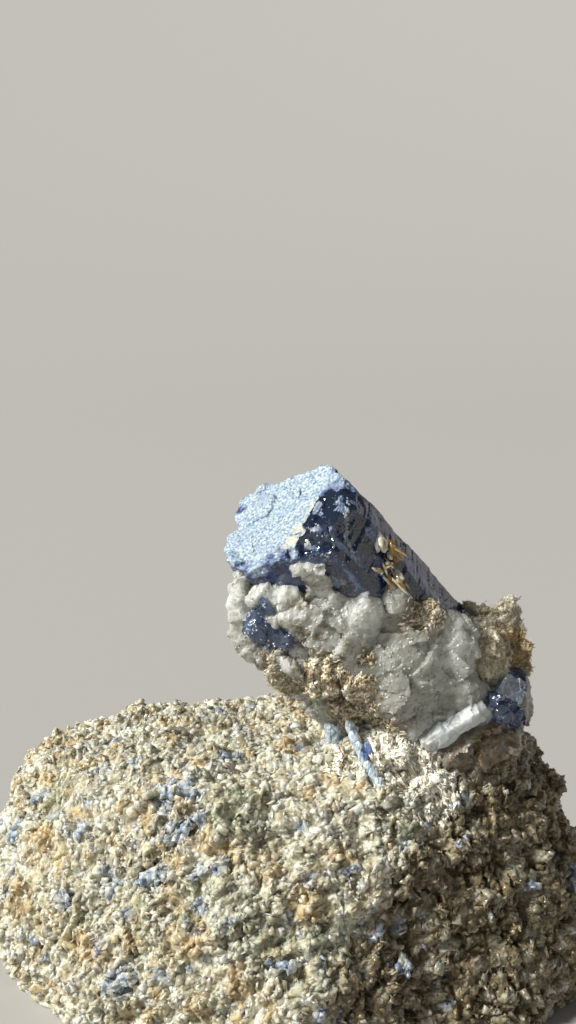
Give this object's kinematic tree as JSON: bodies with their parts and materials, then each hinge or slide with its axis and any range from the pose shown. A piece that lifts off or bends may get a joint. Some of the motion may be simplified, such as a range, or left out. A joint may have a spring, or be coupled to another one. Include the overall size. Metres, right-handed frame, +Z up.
{
  "type": "sapphire crystal on mica schist",
  "caption": "Blue six-sided sapphire crystal, sheathed in pale quartz, that leans out of a rounded block of granular mica schist and rests on the block's flat underside.",
  "frame": {"origin": "middle of the whole specimen's footprint, on the flat underside of the schist block", "axes": "+Z up, +X along the block's length, -Y towards the side that shows the crystal best"},
  "size_m": [0.0626, 0.0484, 0.0541],
  "materials": {
    "sapphire": "deep blue, translucent and glassy on its sides, frosted and pitted on its end",
    "clear_sapphire": "pale to deep blue, clear and glassy",
    "quartz": "milky grey and white, sugary, satin",
    "mica": "golden brown leaves with a pearly lustre",
    "blue_blade": "grey blue, silky",
    "blue_grain": "dull to glassy blue",
    "mica_schist": "coarse grains of cream, gold and grey green mica that glitter"
  },
  "bodies": {
    "root": {"main_sapphire": "sapphire", "right_sapphires": "clear_sapphire", "left_sapphires": "clear_sapphire", "quartz_bar": "quartz", "quartz_sheath": "quartz", "side_mica_book": "mica", "shoulder_mica_book": "mica", "lower_mica_book": "mica", "blue_blade": "blue_blade", "blue_nub": "blue_blade", "blue_grain_01": "blue_grain", "blue_grain_02": "blue_grain", "blue_grain_03": "blue_grain", "blue_grain_04": "blue_grain", "blue_grain_05": "blue_grain", "blue_grain_06": "blue_grain", "blue_grain_07": "blue_grain", "blue_grain_08": "blue_grain", "blue_grain_09": "blue_grain", "blue_grain_10": "blue_grain", "blue_grain_11": "blue_grain", "blue_grain_12": "blue_grain", "blue_grain_13": "blue_grain", "mica_schist_block": "mica_schist"}
  },
  "joints": []
}
